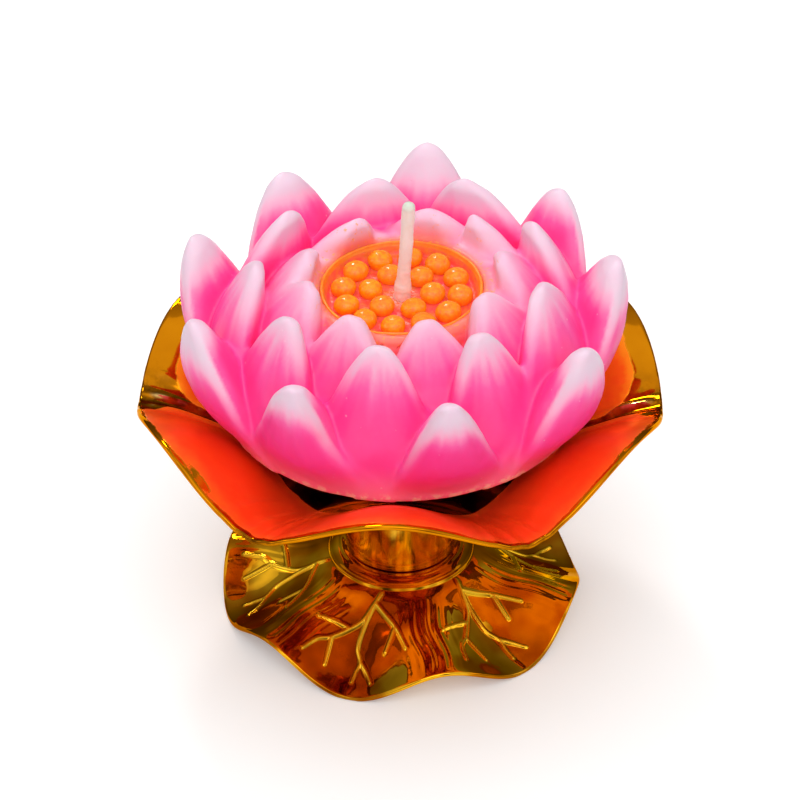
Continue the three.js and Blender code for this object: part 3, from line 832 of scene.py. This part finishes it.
def paint_wax(points):
    """White share and rib height for each point of the wax body, in its own frame."""
    rng = np.random.default_rng(27)
    phases = rng.uniform(0, TURN, (len(petals), len(STREAKS)))
    reach_stray = rng.uniform(-0.9, 0.9, len(petals))
    radius, angle = polar(points)
    white, rib, total = (np.zeros(len(points)) for _ in range(3))
    for number, petal in enumerate(petals):
        _, u, depth, wall, beside = petal.place(radius, angle, points[:, 2])
        below = petal.c[1] - points[:, 2]
        away = np.hypot(np.maximum(beside, 0), np.maximum(-below, 0))
        to_face, to_back = np.hypot(depth, away), np.hypot(depth - wall, away)
        weight = np.exp(-np.clip(np.minimum(to_face, to_back), 0, 30) / PETAL_BLUR)
        streak = sum(
            size * np.sin(waves * u * (1 + 0.1 * k) + phases[number, k])
            for k, (waves, size) in enumerate(STREAKS)
        )
        strong = smoothstep(1, 7, below)
        near_edge = 1 - smoothstep(-0.2, 2.6, np.abs(beside))
        near_edge = near_edge * (1 - smoothstep(*EDGE_FADE[petal.ring], below))

        def whiteness(reach, offset, edge_white, linear):
            hold, end, peak, streaks = reach[petal.ring]
            at = below - offset + reach_stray[number] + streak * strong * streaks
            fade = 1 - smoothstep(hold, end, at)
            if linear:
                fade = np.clip((end - at) / (end - hold), 0, 1) ** 1.7
            return np.clip(fade * peak + near_edge * edge_white * (1 - fade), 0, 1)

        face = whiteness(WHITE_REACH, 1.5 * u * u, EDGE_WHITE[petal.ring], petal.ring > 0)
        back = whiteness(BACK_REACH, petal.pale, BACK_EDGE_WHITE, False)
        white += weight * mix(back, face, np.clip(0.5 + (to_back - to_face) / SIDE_BLUR, 0, 1))
        ridge = np.where(to_face <= to_back, streak, 0.3 * streak) * smoothstep(1.5, 6, below)
        rib += weight * ridge * (1 - smoothstep(16, 27, below)) * (1 - u ** 4)
        total += weight
    total = np.maximum(total, 1e-12)
    return white / total, rib / total


def build_wax():
    verts, faces = wax_blank()
    mesh = bpy.data.meshes.new("lotus_wax_blank")
    mesh.from_pydata((verts * MM).tolist(), [], faces)
    mesh.update()
    blank = link(bpy.data.objects.new("lotus_wax_casting", mesh))
    remesh = blank.modifiers.new("voxel", "REMESH")
    remesh.mode = "VOXEL"
    remesh.voxel_size = SKIN * MM
    graph = bpy.context.evaluated_depsgraph_get()
    made = bpy.data.meshes.new_from_object(blank.evaluated_get(graph))
    bpy.data.objects.remove(blank)
    points = np.empty(len(made.vertices) * 3)
    made.vertices.foreach_get("co", points)
    corners = np.empty(len(made.loops), np.int64)
    made.loops.foreach_get("vertex_index", corners)
    quads = corners.reshape(-1, 4)
    bpy.data.meshes.remove(made)
    points = settle(points.reshape(-1, 3) / MM, quads, SETTLE_ROUNDS)
    white, rib = paint_wax(points)
    (radius, angle), height = polar(points), points[:, 2]
    outside = smoothstep(POD_RADIUS + 1.5, POD_RADIUS + 3, radius) * smoothstep(0.3, 2, height)
    round_foot = smoothstep(BODY_FOOT - 3, BODY_FOOT - 1, radius)
    uneven = rib * 0.1 + wave_noise(points, 5, 3) * 0.05 + wave_noise(points, 1.9, 4) * 0.01
    chips = np.clip(wave_noise(points, 2.6, 8), -0.4, 1) * 0.22
    move = uneven * outside + bell(height, 1.1) * round_foot * chips
    points = points + mesh_normals(points, quads) * move[:, None]
    points[:, 2] = height = np.maximum(points[:, 2], 0)
    front = front_dip(21, angle) / FRONT_DIP
    glow = np.exp(-np.clip(radius - POD_RADIUS - 0.6 - 1.6 * front, 0, 40) / 1.3)
    glow *= between((19, 25), (28.6, 32.5), height)
    return mesh_piece(
        "lotus_wax_casting", points, quads, place=candle_place,
        white=white, orange=glow, inward=1 - smoothstep(17, 25, radius),
        # low is painted light: the wax turns a lighter coral towards its foot, standing in for
        # light bounced up from the gold bowl onto the downward-facing lower body.
        low=1 - smoothstep(0.5, 12, height), hem=(1 - smoothstep(3.3, 4.8, height)) * round_foot,
    )


# Seeds of each ring, its radius and the azimuth of its first seed
SEED_RINGS = [(12, 12.2, 21.5), (6, 6.5, 51.5)]


def seed_places():
    return [
        around(radius, math.radians(first) + TURN * i / count, POOL + 0.3 + SEED_RADIUS)
        for count, radius, first in SEED_RINGS
        for i in range(count)
    ]


def build_pod():
    rim, pool = POD_RIM_HEIGHT, POOL + POOL_RISE
    inside, half = POD_RADIUS - POD_RIM_WIDTH, POD_RIM_WIDTH / 2
    profile = [(1.6, POD_BOTTOM), (POD_RADIUS - 0.4, POD_BOTTOM), (POD_RADIUS, POD_BOTTOM + 0.4)]
    profile += [(POD_RADIUS, z) for z in np.linspace(POD_BOTTOM + 2, rim - 0.55, 10)]
    profile += [
        (POD_RADIUS - half + half * math.cos(t), rim - half + half * math.sin(t))
        for t in np.linspace(0, math.pi, 10)
    ]
    profile += [(inside - (rim - z) * 0.3, z) for z in np.linspace(rim - 0.7, pool + 0.9, 7)]
    profile += [(inside - 0.72, pool + 0.5), (inside - 0.95, pool + 0.2), (inside - 1.3, pool)]
    profile += [(r, pool) for r in np.linspace(inside - 1.5, 1.6, 52)]
    rings = lathe(profile, POD_STEPS)
    inner = polar(rings)[0] < inside - 0.5
    on_pool = inner & (rings[..., 2] > pool - 0.1)
    upper = smoothstep(pool + 0.2, rim - 0.5, rings[..., 2])
    creep = sum(
        bell(np.maximum(np.hypot(rings[..., 0] - x, rings[..., 1] - y) - 2.1, 0), 0.55, 1.3)
        for x, y, _ in seed_places()
    )
    skin = wave_noise(rings, 3.2, 21) * 0.16 + 0.45 * np.minimum(creep, 1.2)
    rings[..., 2] += np.where(on_pool, skin, 0)
    on_rim = rings[..., 2] > rim - 0.9
    rings[..., 2] += np.where(on_rim, wave_noise(rings, 7, 22) * 0.12 - 0.06, 0)
    rings[..., :2] *= (1 + wave_noise(rings, 6, 23) * 0.006 * upper * inner)[..., None]
    quads = band_faces(len(profile), POD_STEPS)[:, ::-1]
    return mesh_piece(
        "seed_pod_cup", rings, quads, place=candle_place,
        rim=upper, centre=1 - smoothstep(2.4, 4.4, polar(rings)[0]),
    )


def capped(rings, first, last):
    """Vertices, quads and tris of rings that run downward, closed by a point at either end."""
    rows, cols = rings.shape[:2]
    j = np.arange(cols)
    n, top, end = (j + 1) % cols, np.full(cols, rows * cols), (rows - 1) * cols
    tris = np.concatenate([np.stack([top, j, n], 1), np.stack([top + 1, end + n, end + j], 1)])
    points = np.vstack([rings.reshape(-1, 3), first, last])
    return points, band_faces(rows, cols, closed=False), tris


def build_seeds():
    rng = np.random.default_rng(18)
    pole = np.linspace(0, math.pi, SEED_GRID[0] + 2)[1:-1]
    rings = lathe(np.stack([np.sin(pole), np.cos(pole)], 1), SEED_GRID[1])
    sphere, quads, tris = capped(rings, (0, 0, 1), (0, 0, -1))
    seam = bell(sphere[:, 2], 0.035) * 0.012
    made = []
    for index, place in enumerate(seed_places()):
        lumps = wave_noise(sphere, 1.6, 100 + index) * 0.014
        ball = sphere * (1 + seam + lumps)[:, None] * rng.uniform(0.965, 0.995)
        ball *= (SEED_WIDE, SEED_WIDE * rng.uniform(0.94, 1), SEED_FLAT)
        tilt = Euler((*rng.uniform(-0.16, 0.16, 2), rng.uniform(0, TURN))).to_matrix()
        points = ball @ np.array(tilt).T + place - (0, 0, SEED_SINK)
        made.append(mesh_piece(
            "seed_%02d_bead" % (index + 1), points, quads, tris, candle_place,
            shade=np.full(len(points), rng.uniform(0, 1)),
        ))
    return made


def tube(route, radii, cols):
    """Rings of points round a route, with a width for each of its points."""
    along = unit(np.gradient(route, axis=0))
    side = unit(np.cross(along, (0, 1, 0)))
    other = np.cross(along, side)
    angle = steps_round(cols)[:, None]
    round_it = side[:, None] * np.cos(angle) + other[:, None] * np.sin(angle)
    return route[:, None] + radii[:, None, None] * round_it


def build_wick():
    free = WICK_TOP - POOL
    x, y = WICK_LEAN
    route = curve_points([
        (0, 0, 1.1), (0, 0, POD_BOTTOM), (0, 0, POOL), (x / 3, y / 3, POOL + free / 3),
        (x * 0.72, y * 0.68, POOL + free * 0.7), (x, y, WICK_TOP - 0.02),
    ], 60)
    over = route[:, 2] - POOL
    glob = between((-0.4, 0.3), (3.6, 7.4), over)
    radius = WICK_RADIUS + GLOB_SIZE * glob * (0.8 + 0.2 * np.sin(over * 1.7))
    radius = radius * (1 + 0.03 * np.sin(over * 0.9 + 1) * smoothstep(0, 4, over))
    tip = np.clip((WICK_TOP - route[:, 2]) / 1.15, 0, 1)
    radius = radius * np.sqrt(np.clip(1 - (1 - tip) ** 2, 0.02, 1))
    radius = np.where(over < 0, np.minimum(radius, WICK_RADIUS), radius)
    rings = tube(route, radius, WICK_STEPS)
    angle, high = steps_round(WICK_STEPS), rings[..., 2] - POOL
    braid = np.sin(3 * angle + high * 2.6) * np.sin(3 * angle - high * 2.6) * 0.02
    uneven = wave_noise(rings, 2.4, 31) * 0.035 + wave_noise(rings, 0.9, 32) * 0.012
    lumps = wave_noise(rings, 3.2, 33) * 0.1 * bell(high - 2, 2.4)
    swell = 1 + (braid + uneven + lumps) * smoothstep(0.1, 0.8, high)
    rings = route[:, None] + (rings - route[:, None]) * swell[..., None]
    points, quads, tris = capped(rings[::-1], rings[-1].mean(0), rings[0].mean(0))
    up = np.clip((points[:, 2] - POOL) / free, 0, 1)
    return mesh_piece("wick_waxed", points, quads, tris, candle_place, up=up)


def build_tab():
    neck = WICK_RADIUS + 0.3
    profile = [
        (0.2, 0.3), (10, 0.3), (10, 0.8), (neck + 0.5, 0.8), (neck + 0.5, 4.2), (neck, 4.2),
        (neck, 0.8), (0.2, 0.8),
    ]
    return turned("wick_tab_disc", rounded(profile, 0.2, 4), 96, place=candle_place)


def gold_look(name, colour, dark):
    """A mirror-like gold, the clouds in it, and their tone."""
    look = Look(name, Metallic=1.0, Specular_IOR_Level=0.3, Specular_Tint=(0.95, 0.6, 0.2, 1))
    cloud = look.noise(16, 3, 0.5)
    return look, cloud, look.ramp(cloud, (0.3, dark), (0.7, colour))


def foot_look():
    look, _, tone = gold_look("foot_gold", "dc940c", "c47408")
    # Painted reflections: clouds of dark brown and bright yellow stand in for the dark and bright
    # surroundings mirrored in the foot's gold.
    painted_reflections = look.ramp((11, 2, 0.45), (0.36, "6e3405"), (0.5, "c87408"), (0.62, "ffc428"))
    # lowest is painted shade, a darker brown over the foot's bottom few millimetres near the floor.
    vein, lowest = look.attribute("vein"), look.attribute("lowest", 0.6)
    waves = look.bump(look.noise(5.5, 2, 0.4), 0.3, 0.35)
    return look.use(
        Base_Color=look.with_stains_and_painted_light(
            # The veins are painted a bright yellow, a painted highlight along their raised lines,
            # besides being rougher.
            tone, (0.7, painted_reflections), (lowest, "7c3a06"), (look.times(vein, 0.85), "f8c832")
        ),
        Roughness=look.line(0.04, 0.3, vein),
        Normal=look.bump(look.noise(0.35, 3, 0.7), 0.05, 0.02, Normal=waves),
    )


def stem_look():
    look, cloud, tone = gold_look("stem_gold", "dc960c", "cc8606")
    # Painted reflections: upright streaks of brown and bright yellow stand in for what the round,
    # mirror-like stem reflects.
    streaks = (3.4, 2, 0.5, (1, 1, 0.06))
    streaks = look.ramp(streaks, (0.36, "a04c08"), (0.52, "cc7c0a"), (0.64, "ffcc38"))
    fine = look.swing(look.noise(0.5, 2, 0.6), 0.08)
    return look.use(
        Base_Color=look.blend(0.85, tone, streaks),
        Roughness=look.plus(look.times(cloud, 0.3), fine, clamp=True),
        Normal=look.bump(look.noise(1.2, 3, 0.5, (1, 1, 0.02)), 0.5, 0.12),
    )


def bowl_look():
    look, cloud, tone = gold_look("bowl_gold", "d8860a", "c47205")
    wobble = look.swing(look.noise(7, 3, 0.5), 2.2)
    brush = look.swing(look.noise(1.1, 3, 0.6), 0.5)
    inside = look.plus(look.plus(look.attribute("paint"), wobble), brush)
    mask = look.soft(inside, -0.15, 0.25)
    thin = look.times(look.math("SUBTRACT", 1.0, look.soft(inside, 0.0, 3.2)), 0.45)
    strokes = look.noise(2.2, 4, 0.7, (1, 1, 0.4))
    hue = look.plus(look.plus(thin, look.swing(strokes, 0.6)), look.attribute("back", 0.62))
    paint = look.ramp(hue, (0.0, "ff4618"), (0.3, "ff561c"), (0.65, "ff6a16"), (1.0, "ff921a"))
    # Painted shade: dark brown streaks in the bowl's notches, where the folds lie in shade and
    # mirror dark surroundings.
    streaks = look.ramp((3.2, 3, 0.6), (0.4, 0.25), (0.6, 0.8))
    # Painted highlight: pale gold glints on the crests of the pleats beside the notches.
    shine = look.ramp((4, 2, 0.5), (0.45, 0), (0.56, 0.9))
    gold_rough, paint_rough = look.times(cloud, 0.16), look.line(0.24, 0.16, strokes)
    rough = look.add("Mix", {"data_type": "FLOAT"}, i0=mask, i2=gold_rough, i3=paint_rough)
    edge, grain = look.bump(mask, 0.5, 0.06), look.times(look.noise(1.3, 4, 0.7), mask)
    return look.use(
        Base_Color=look.with_stains_and_painted_light(
            tone, (look.attribute("notch", streaks), "4a2406"),
            # Dark brown under the candle is painted shade and a painted dark reflection.
            (look.attribute("crest", shine), "ffdc8c"), (look.attribute("deep", 0.95), "2c0c04"),
            (mask, paint),
        ),
        Metallic=look.math("SUBTRACT", 1.0, look.times(mask, 0.65)),
        Roughness=rough.outputs[0],
        Normal=look.bump(grain, 0.12, 0.1, Normal=edge),
    )


def waxy_look(name, share, depth_mm, reach, **settings):
    """A look for wax, which that share of the light enters, to that depth for red, green, blue."""
    return Look(name, IOR=1.44, Subsurface_Weight=share, Subsurface_Scale=depth_mm * MM,
                Subsurface_Radius=reach, **settings)


def wax_look():
    look = waxy_look("pink_wax", 0.35, 1.6, (1.0, 0.45, 0.6), Coat_Weight=0.08, Coat_Roughness=0.25)
    white = look.plus(look.attribute("white"), look.swing(look.noise(1.6, 4, 0.6), 0.1))
    white = look.plus(white, look.swing(look.noise(7, 2, 0.5), 0.12), clamp=True)
    colour = look.ramp(
        white, (0.0, "ff3d96"), (0.2, "ff56a6"), (0.45, "ff8abb"), (0.7, "f6b2cf"), (1.0, "e6cbdb")
    )
    near = look.attribute("inward")
    stains = look.soft(look.line(look.noise(1.1, 4, 0.7), 0.13, near), 0.7, 0.76)
    glow = look.times(look.attribute("orange"), 0.85, clamp=True)
    flakes = look.ramp((2.2, 4, 0.65), (0.5, 0), (0.57, 0.9))
    pits = look.add("TexVoronoi", Vector=look.place((1, 1, 1)), Scale=1 / (3.1 * MM))
    pit = look.soft(pits.outputs["Distance"], 0.03, 0.1)
    some = look.ramp((6, 2, 0.5), (0.48, 0), (0.56, 0.35))
    fleck = look.times(look.math("SUBTRACT", 1.0, pit), some)
    return look.use(
        Base_Color=look.with_stains_and_painted_light(
            # Painted light: low lightens the shaded lower body to coral.
            colour, (look.attribute("low", 0.9), "ff8ca4"), (glow, "ff7048"),
            (look.times(look.times(stains, near), 0.8), "ffa040"),
            (look.attribute("hem", flakes), "ffd0b8"), (fleck, "ffd6e2"),
        ),
        Roughness=look.line(0.34, 0.16, look.noise(2.4, 4, 0.6)),
        Normal=look.bump(look.noise(1.2, 4, 0.65), 0.16, 0.12, Normal=look.bump(pit, 0.35, 0.12)),
    )


def pod_look():
    look = waxy_look("orange_pod_wax", 0.5, 1.8, (1.0, 0.5, 0.2), Roughness=0.42,
                     Coat_Weight=0.08, Coat_Roughness=0.2)
    pool = look.ramp((2.6, 4, 0.6), (0.3, "ff4a56"), (0.52, "ff6046"), (0.7, "ff843c"))
    wall = look.ramp((2.2, 4, 0.65), (0.36, "ff6a58"), (0.55, "ff8440"), (0.68, "ffa03c"))
    top = look.ramp((1.4, 3, 0.6), (0.3, "ff7c20"), (0.7, "ff9418"))
    threads = look.ramp((0.9, 3, 0.7), (0.42, 0), (0.5, 0.8), (0.58, 0))
    rim = look.attribute("rim")
    return look.use(
        Base_Color=look.with_stains_and_painted_light(
            pool, (look.attribute("centre", threads), "ffc4b4"),
            (look.times(rim, 3, clamp=True), wall), (look.soft(rim, 0.75, 1.0), top),
        ),
        Normal=look.bump(look.noise(1.0, 4, 0.6), 0.25, 0.15),
    )


def seed_look():
    look = waxy_look("orange_seed_wax", 0.3, 0.9, (1.0, 0.4, 0.1))
    cloud = (1.1, 4, 0.7)
    lit = look.ramp(cloud, (0.3, "ff7618"), (0.46, "ff8c0e"), (0.6, "ffa20a"), (0.7, "ff8c10"))
    return look.use(
        Base_Color=look.blend(look.attribute("shade", 0.25), lit, "ff6a30"),
        Roughness=look.line(0.12, 0.14, look.noise(0.8, 3, 0.6)),
        Normal=look.bump(look.noise(0.7, 3, 0.6), 0.12, 0.06),
    )


def wick_look():
    look = waxy_look("waxed_wick", 0.45, 1.0, (1.0, 0.7, 0.55), Roughness=0.42,
                     Coat_Weight=0.1, Coat_Roughness=0.3)
    tone = look.ramp(
        look.attribute("up"),
        (0.0, "ffd4cc"), (0.14, "ffe2da"), (0.55, "faece4"), (0.93, "f2ebe0"), (1.0, "ccd8c8"),
    )
    return look.use(
        Base_Color=look.blend(look.times(look.noise(0.7, 4, 0.7), 0.22), tone, "d9b8a6"),
        Normal=look.bump(look.noise(0.5, 4, 0.7), 0.3, 0.1),
    )


def tin_look():
    look = Look("tin_tab", Metallic=1.0)
    grain = look.noise(0.6, 4, 0.7, (1, 6, 1))
    return look.use(
        Base_Color=look.ramp(grain, (0.3, "a6a8ab"), (0.7, "cfd1d3")),
        Roughness=look.line(0.25, 0.2, grain),
        Normal=look.bump(grain, 0.1, 0.03),
    )


dress(build_foot(), foot_look(), "holder", ["leaf_foot"])
dress(build_stem(), stem_look(), "holder", ["stem"])
dress(build_bowl(), bowl_look(), "holder", ["petal_bowl"])
dress(build_wax(), wax_look(), "candle", ["lotus_wax_body"])
dress(build_pod(), pod_look(), "candle", ["seed_pod"])
seed_material = seed_look()
for number, seed in enumerate(build_seeds()):
    dress(seed, seed_material, "candle", ["seed_%02d" % (number + 1)])
dress(build_wick(), wick_look(), "candle", ["wick"])
dress(build_tab(), tin_look(), "candle", ["wick_tab"])


WHITE = (1, 1, 1, 1)
# Half the floor's side in millimetres, and how far under the holder it lies in metres
FLOOR_HALF, FLOOR_DROP = 3000, 0.0002
# How much brighter the floor looks than it is lit, so that it meets the white backdrop
FLOOR_LIFT = 0.2
WORLD_LIGHT, TENT_RADIUS, STRIP_RADIUS = 0.5, 900, 860
PANEL_COLUMNS, PANEL_ROWS = 60, 12
LAMP_AIM = (0, 0, 0.05)
# The camera fitted to the photo: place in metres, tilt and roll in degrees, lens in millimetres
CAMERA_PLACE, CAMERA_TILT, CAMERA_ROLL = (-0.00001, -0.49142, 0.39506), 55, -0.39
CAMERA_LENS, SENSOR_WIDTH, CLIP = 127.14, 36, (0.01, 20)


def build_floor():
    half = FLOOR_HALF
    corners = [(-half, -half, 0), (half, -half, 0), (half, half, 0), (-half, half, 0)]
    floor = mesh_piece("studio_floor", corners, [(0, 1, 2, 3)])
    floor.location.z = -FLOOR_DROP
    look = Look("studio_floor", Roughness=0.9, Specular_IOR_Level=0.1, Emission_Color=WHITE)
    floor.data.materials.append(look.use(
        Base_Color=look.ramp((900, 2, 0.5), (0.3, 0.86), (0.7, 0.9)),
        Emission_Strength=look.times(look.seen(), FLOOR_LIFT),
    ))


def build_panel(name, turn, rise, tone, uneven=0.0, distance=TENT_RADIUS):
    """A glowing panel of the studio tent, seen only in mirror-like surfaces."""
    up, across = np.meshgrid(
        np.linspace(*rise, PANEL_ROWS), np.linspace(*turn, PANEL_COLUMNS), indexing="ij"
    )
    high, angle = np.radians(up), np.radians(across)
    verts = distance * around(np.cos(high), angle, np.sin(high))
    quads = band_faces(PANEL_ROWS, PANEL_COLUMNS, closed=False)
    quads = quads.reshape(-1, PANEL_COLUMNS, 4)[:, :-1].reshape(-1, 4)
    ripple = np.sin(across / 5.1) * np.sin(across / 13 + 1)
    glow = np.interp(up, np.linspace(*rise, len(tone)), tone)
    panel = mesh_piece(name, verts, quads, tone=glow * (1 + ripple * uneven))
    look = Look(name, Roughness=1.0, Specular_IOR_Level=0.0, Base_Color=(0, 0, 0, 1),
                Emission_Color=(1, 0.97, 0.92, 1))
    panel.data.materials.append(look.use(Emission_Strength=look.attribute("tone")))
    panel.visible_camera = panel.visible_diffuse = False
    panel.visible_shadow = panel.visible_transmission = False


def build_lamp(name, place, size, power, mirrored=True):
    lamp = bpy.data.lights.new(name, "AREA")
    lamp.shape, lamp.energy = "RECTANGLE", power
    lamp.size, lamp.size_y = size
    rig = link(bpy.data.objects.new(name, lamp))
    rig.location = place
    aim = Vector(LAMP_AIM) - Vector(place)
    rig.rotation_euler = aim.to_track_quat("-Z", "Y").to_euler()
    rig.visible_glossy = mirrored


def build_world():
    world = bpy.data.worlds.new("studio")
    bpy.context.scene.world = world
    world.use_nodes = True
    nodes = Nodes(world.node_tree)
    light = nodes.add("Background", Color=WHITE, Strength=WORLD_LIGHT)
    backdrop = nodes.add("Background", Color=WHITE, Strength=1.0)
    shown = nodes.add("MixShader", i0=nodes.seen(), i1=light, i2=backdrop)
    nodes.add("OutputWorld", Surface=shown)


def build_camera():
    lens = bpy.data.cameras.new("camera")
    lens.sensor_width, lens.lens = SENSOR_WIDTH, CAMERA_LENS
    lens.clip_start, lens.clip_end = CLIP
    camera = link(bpy.data.objects.new("camera", lens))
    camera.location = CAMERA_PLACE
    tilt, roll = (
        Matrix.Rotation(math.radians(turn), 4, axis)
        for turn, axis in ((CAMERA_TILT, "X"), (CAMERA_ROLL, "Z"))
    )
    camera.rotation_euler = (tilt @ roll).to_euler()
    bpy.context.scene.camera = camera


build_floor()
build_panel("panel_back", (20, 158), (0, 72), (0.12, 0.14, 0.2, 0.3, 0.42, 0.6))
build_panel("panel_left", (158, 212), (0, 60), (0.4, 0.75, 0.7, 0.6), 0.4)
build_panel("panel_front", (212, 325), (0, 50), (0.8, 0.6, 0.9), 0.9)
build_panel("panel_right", (325, 380), (0, 60), (0.35, 0.8, 0.8, 0.7), 0.5)
build_panel("strip_left", (172, 190), (22, 33), (2.6, 2.6), distance=STRIP_RADIUS)
build_panel("strip_right", (350, 368), (22, 33), (2.2, 2.2), distance=STRIP_RADIUS)
build_lamp("key", (-0.17, 0.52, 0.70), (0.14, 0.14), 1.6)
build_lamp("fill", (0.05, -0.85, 0.95), (1.3, 0.9), 7.0)
build_lamp("top", (0.0, 0.0, 1.2), (1.2, 1.0), 4.5, mirrored=False)
build_world()
build_camera()
bpy.context.scene.view_settings.view_transform = "Standard"
